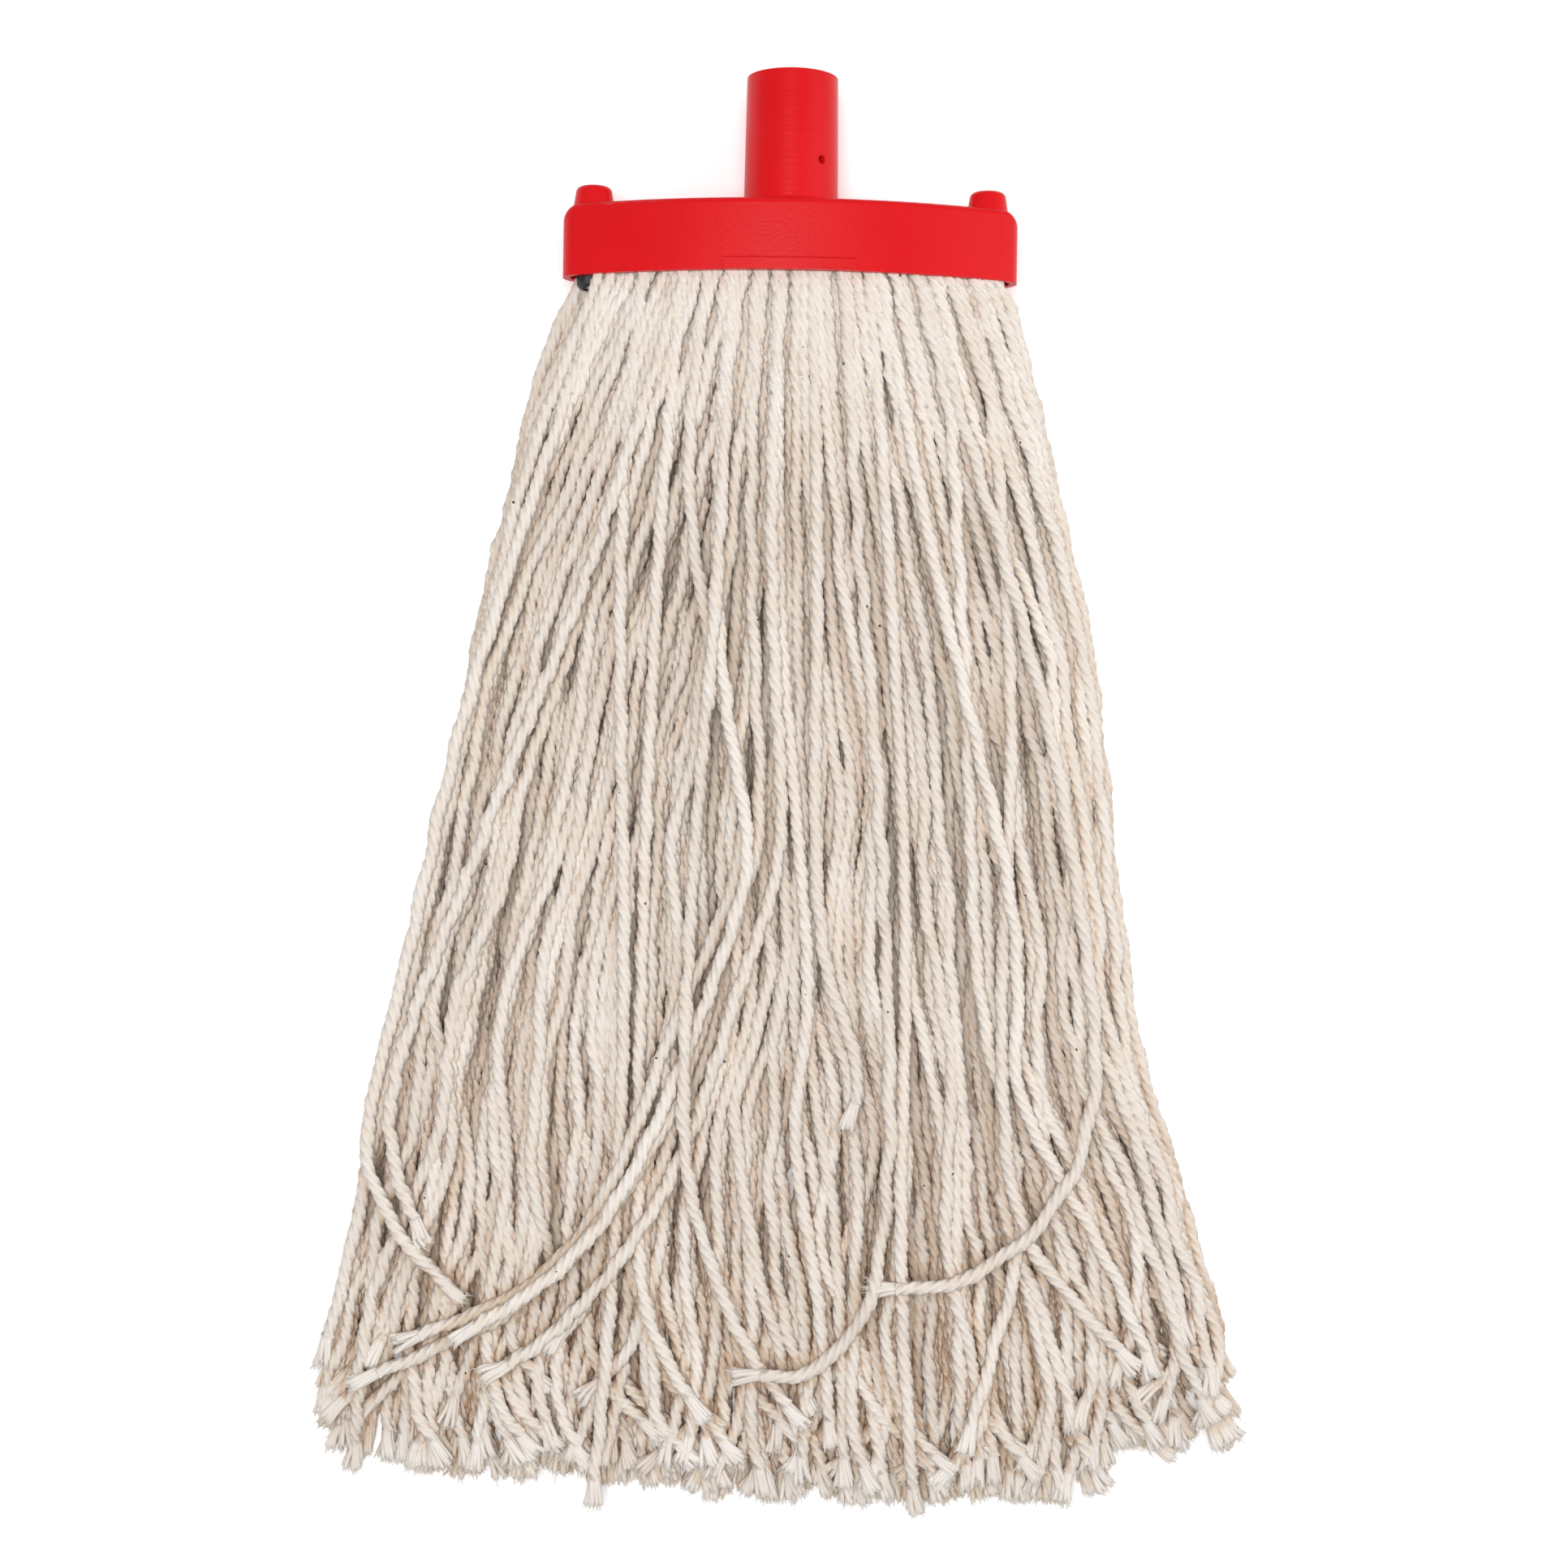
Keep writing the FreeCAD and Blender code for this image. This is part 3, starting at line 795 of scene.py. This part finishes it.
def add_yarn(parts, rings, distance, tone):
    """Joins rings into a tube. Each end is closed by a disc of its own, so it doesn't round off."""
    count = len(rings)
    quads, _ = tube_faces(count, RING, False, False)
    girth = 2 * math.pi * STRAND_RADIUS
    around = np.arange(RING + 1) / RING * girth
    uv = np.empty((count - 1, RING, 4, 2))
    uv[..., 0, 0] = uv[..., 3, 0] = around[:-1]
    uv[..., 1, 0] = uv[..., 2, 0] = around[1:]
    uv[..., 0, 1] = uv[..., 1, 1] = distance[:-1, None]
    uv[..., 2, 1] = uv[..., 3, 1] = distance[1:, None]
    discs, faces, base = [], [], count * RING
    for ring, direction in ((rings[0], -1), (rings[-1], 1)):
        discs.append(np.concatenate([ring, ring.mean(0, keepdims=True)]))
        for corner in range(RING):
            pair = (base + corner, base + (corner + 1) % RING)
            faces.append((base + RING, *pair[::direction]))
        base += RING + 1
    triangle_uv = np.zeros((len(faces), 3, 2)) + [0, distance[-1]]
    # The groove attribute sets the painted groove shade; the end discs take it in full.
    groove = np.concatenate([np.tile(GROOVE, count), np.ones(2 * (RING + 1))])
    points = np.concatenate([rings.reshape(-1, 3), *discs])
    rise = (rings[..., 2] - rings[..., 2].mean(1, keepdims=True)).ravel() / STRAND_RADIUS
    rise = np.concatenate([rise, np.ones(2 * (RING + 1))])
    parts.add(points, quads, uv.reshape(-1, 4, 2), np.array(faces), triangle_uv, tone, groove, rise)


def add_thread(parts, path, thick, sides, tone, groove):
    """A plain thin tube with closed ends."""
    path = path.copy()
    path[:, 2] = np.maximum(path[:, 2], thick + 0.15 * MM)
    tangent, side, top = frames(path)
    angle = np.arange(sides) * 2 * math.pi / sides
    points = (
        path[:, None]
        + side[:, None] * (np.cos(angle)[None] * thick[:, None])[..., None]
        + top[:, None] * (np.sin(angle)[None] * thick[:, None])[..., None]
    )
    ends = [path[0], path[-1] + tangent[-1] * thick[-1] * 0.5]
    points = np.concatenate([points.reshape(-1, 3), ends])
    quads, triangles = tube_faces(len(path), sides, True, True)
    place = rng.uniform(0, 1)
    distance = place + along(path)
    quad_uv = np.empty((len(path) - 1, sides, 4, 2))
    around = np.arange(sides + 1) * 2 * math.pi * float(thick.max()) / sides + place
    quad_uv[..., 0, 0] = quad_uv[..., 3, 0] = around[:-1]
    quad_uv[..., 1, 0] = quad_uv[..., 2, 0] = around[1:]
    quad_uv[..., 0, 1] = quad_uv[..., 1, 1] = distance[:-1, None]
    quad_uv[..., 2, 1] = quad_uv[..., 3, 1] = distance[1:, None]
    triangle_uv = np.zeros((len(triangles), 3, 2)) + place
    # The whole thread takes this much painted groove shade.
    depth = np.full(len(points), groove)
    rise = np.ones(len(points))
    parts.add(points, quads, quad_uv.reshape(-1, 4, 2), triangles, triangle_uv, tone, depth, rise)


def near_line(points, line, limit):
    """The points, drawn in to within a limit of the nearest point of a line."""
    away = points[:, None] - line[None]
    nearest = np.linalg.norm(away, axis=2).argmin(1)
    offset = points - line[nearest]
    size = np.linalg.norm(offset, axis=1)[:, None]
    return line[nearest] + offset * np.minimum(1, limit / np.maximum(size, 1e-9))


def add_tuft(parts, tail, turn, tone):
    """The frayed end: the strand's single yarns part and spread, and each ends in loose hairs."""
    tail = evenly(tail, 2 * MM)
    _, across, up = frames(tail)
    part = np.linspace(0, 1, len(tail))
    open_up = rng.uniform(0.9, 1.6)
    flat = rng.uniform(0.5, 0.85)
    for finger in range(FINGERS):
        first = turn + finger * 2 * math.pi / (FINGERS - 1) + rng.normal(0, 0.2)
        out0 = 0.0 if finger == FINGERS - 1 else 0.52
        out1 = rng.uniform(0.1, 0.5) if finger == FINGERS - 1 else open_up * rng.uniform(0.7, 1.15)
        out = STRAND_RADIUS * (out0 + (out1 - out0) * part**1.4)
        angle = first + 0.9 * part
        reach = rng.uniform(0.76, 0.92)
        path = (
            tail
            + across * (np.cos(angle) * out)[:, None]
            + up * (np.sin(angle) * out * (1 - (1 - flat) * part))[:, None]
        )
        path += rng.normal(0, 0.4 * MM, 3) * (part**2)[:, None]
        path = near_line(path[: max(4, int(round(len(path) * reach)))], tail, FINGER_LIMIT)
        thick = STRAND_RADIUS * rng.uniform(0.34, 0.42) * np.linspace(1.0, 0.95, len(path))
        add_thread(parts, path, thick, 6, tone, rng.uniform(0, 0.25))
        heading = path[-1] - path[-2]
        heading /= np.linalg.norm(heading)
        for _ in range(HAIRS_PER_FINGER):
            way = heading + rng.normal(0, 0.25, 3)
            start = path[-1] + rng.normal(0, 0.4 * MM, 3) - heading * 1 * MM
            steps = np.linspace(0, rng.uniform(1.6, 2.8) * MM, HAIR_POINTS)
            hair = near_line(start + way * steps[:, None], tail, HAIR_LIMIT)
            add_thread(parts, hair, np.linspace(0.26, 0.12, HAIR_POINTS) * MM, 3, tone, 0.0)


def random_wave():
    """How a strand's thickness changes along it."""
    waves = [(rng.uniform(14, 40) * MM, rng.uniform(0, 6.3), rng.normal(0, 0.034)) for _ in range(3)]
    return lambda distance: sum(a * np.sin(distance / w * 2 * math.pi + p) for w, p, a in waves)


def hank_of(line):
    """Which of the CAD model's hanks a strand lies in, by where it is at the upper hinge."""
    at = np.argmin(abs(line[:, 1] - UPPER_HINGE.y))
    x = line[at, 0]
    half = float(skirt_half_width(MOUTH_Y - UPPER_HINGE.y, x))
    return int(np.clip((x / half + 1) / 2 * HANKS, 0, HANKS - 1))


# Where an upper strand may be cut into two pieces, between the upper hinge and the head's hinge
CUT_Y = (UPPER_HINGE.y + 25 * MM, HINGE.y - 16 * MM)


def build_skirt():
    """Makes the strands' pieces: some lower strands as cords of their own, and the rest grouped
    by hank. An upper strand is cut in two, because a piece bends across one joint only.
    """
    material = cotton()
    laid, pile = settle(fan_strands(), top_strands())
    envelope = pile.cover()
    upper_free = [MeshParts() for _ in range(HANKS)]
    upper_root = [MeshParts() for _ in range(HANKS)]
    lower_rest = [MeshParts() for _ in range(HANKS)]
    lower = [line for line, upper in laid if not upper]
    furthest = sorted(lower, key=lambda line: -np.hypot(line[-1, 0], line[-1, 1] - MOUTH_Y))
    declared = {id(line) for line in furthest[:MAX_CORDS]}
    number = 0
    for line, upper in laid:
        phase, tone = rng.uniform(0, 2 * math.pi), rng.uniform(0, 1)
        index = hank_of(line)
        bent = crinkled(line)
        rings, distance = twisted_rings(bent, phase, random_wave())
        last = int(np.argmax(distance > distance[-1] - TUFT_LENGTH))
        tail_turn = phase + 2 * math.pi * distance[last] / LAY_LENGTH
        if upper:
            cut = int(np.argmax(line[:, 1] < rng.uniform(*CUT_Y)))
            add_yarn(upper_root[index], rings[: cut + 1], distance[: cut + 1], tone)
            parts, first = upper_free[index], cut
        elif id(line) in declared:
            parts, first = MeshParts(), 0
        else:
            parts, first = lower_rest[index], 0
        add_yarn(parts, rings[first : last + 1], distance[first : last + 1], tone)
        add_tuft(parts, bent[last:], tail_turn, tone)
        if id(line) in declared:
            number += 1
            piece = parts.build(f"strand_{number:02d}", material, pile, envelope)
            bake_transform(piece)
    for index in range(HANKS):
        name = index + 1
        piece = upper_free[index].build(f"upper_strands_{name}", material, pile, envelope)
        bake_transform(piece)
        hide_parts(f"upper_hank_{name}")
        piece = upper_root[index].build(f"upper_strand_roots_{name}", material, pile, envelope)
        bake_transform(piece)
        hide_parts(f"lower_hank_{name}", f"yarn_fold_{name}")
        if lower_rest[index].count:
            piece = lower_rest[index].build(f"lower_strands_{name}", material, pile, envelope)
            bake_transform(piece)


# ---------------------------------------------------------------- camera, floor and light


def make_camera():
    """Straight above the mop, with the head turned slightly clockwise in the picture."""
    data = bpy.data.cameras.new("camera")
    data.sensor_width = SENSOR_WIDTH
    data.lens = SENSOR_WIDTH * CAMERA_PLACE[2] / VIEW_WIDTH
    camera = bpy.data.objects.new("camera", data)
    camera.location = CAMERA_PLACE
    camera.rotation_euler = Euler((0, 0, CAMERA_TURN))
    bpy.context.scene.collection.objects.link(camera)
    bpy.context.scene.camera = camera
    bpy.context.scene.view_settings.view_transform = "Standard"


def make_floor():
    """Wide enough that its edge is never in the picture from above."""
    mesh = bpy.data.meshes.new("floor")
    corners = [(x * FLOOR_HALF_SIZE, y * FLOOR_HALF_SIZE, 0) for x, y in ((-1, -1), (1, -1), (1, 1), (-1, 1))]
    mesh.from_pydata(corners, [], [(0, 1, 2, 3)])
    floor = bpy.data.objects.new("floor", mesh)
    bpy.context.scene.collection.objects.link(floor)
    mesh.materials.append(floor_paper())


def area_light(name, place, target, width, height, power):
    """A rectangular light at a place, turned towards its target."""
    data = bpy.data.lights.new(name, "AREA")
    data.shape = "RECTANGLE"
    data.size, data.size_y = width, height
    data.energy = power
    light = bpy.data.objects.new(name, data)
    light.location = place
    light.rotation_euler = (Vector(target) - Vector(place)).to_track_quat("-Z", "Y").to_euler()
    bpy.context.scene.collection.objects.link(light)


def make_lights():
    world = bpy.data.worlds.new("studio")
    bpy.context.scene.world = world
    world.use_nodes = True
    background = world.node_tree.nodes["Background"]
    background.inputs["Color"].default_value = (1, 1, 1, 1)
    background.inputs["Strength"].default_value = 0.43
    area_light("overhead_softbox", (-0.06, 0.04, 1.5), (0, 0, 0), 0.6, 0.6, 14.5)
    area_light("right_softbox", (0.9, 0.3, 0.55), (0, 0.15, 0), 0.5, 0.9, 2.6)


make_camera()
make_floor()
make_lights()
paint_cad_nodes()
build_skirt()
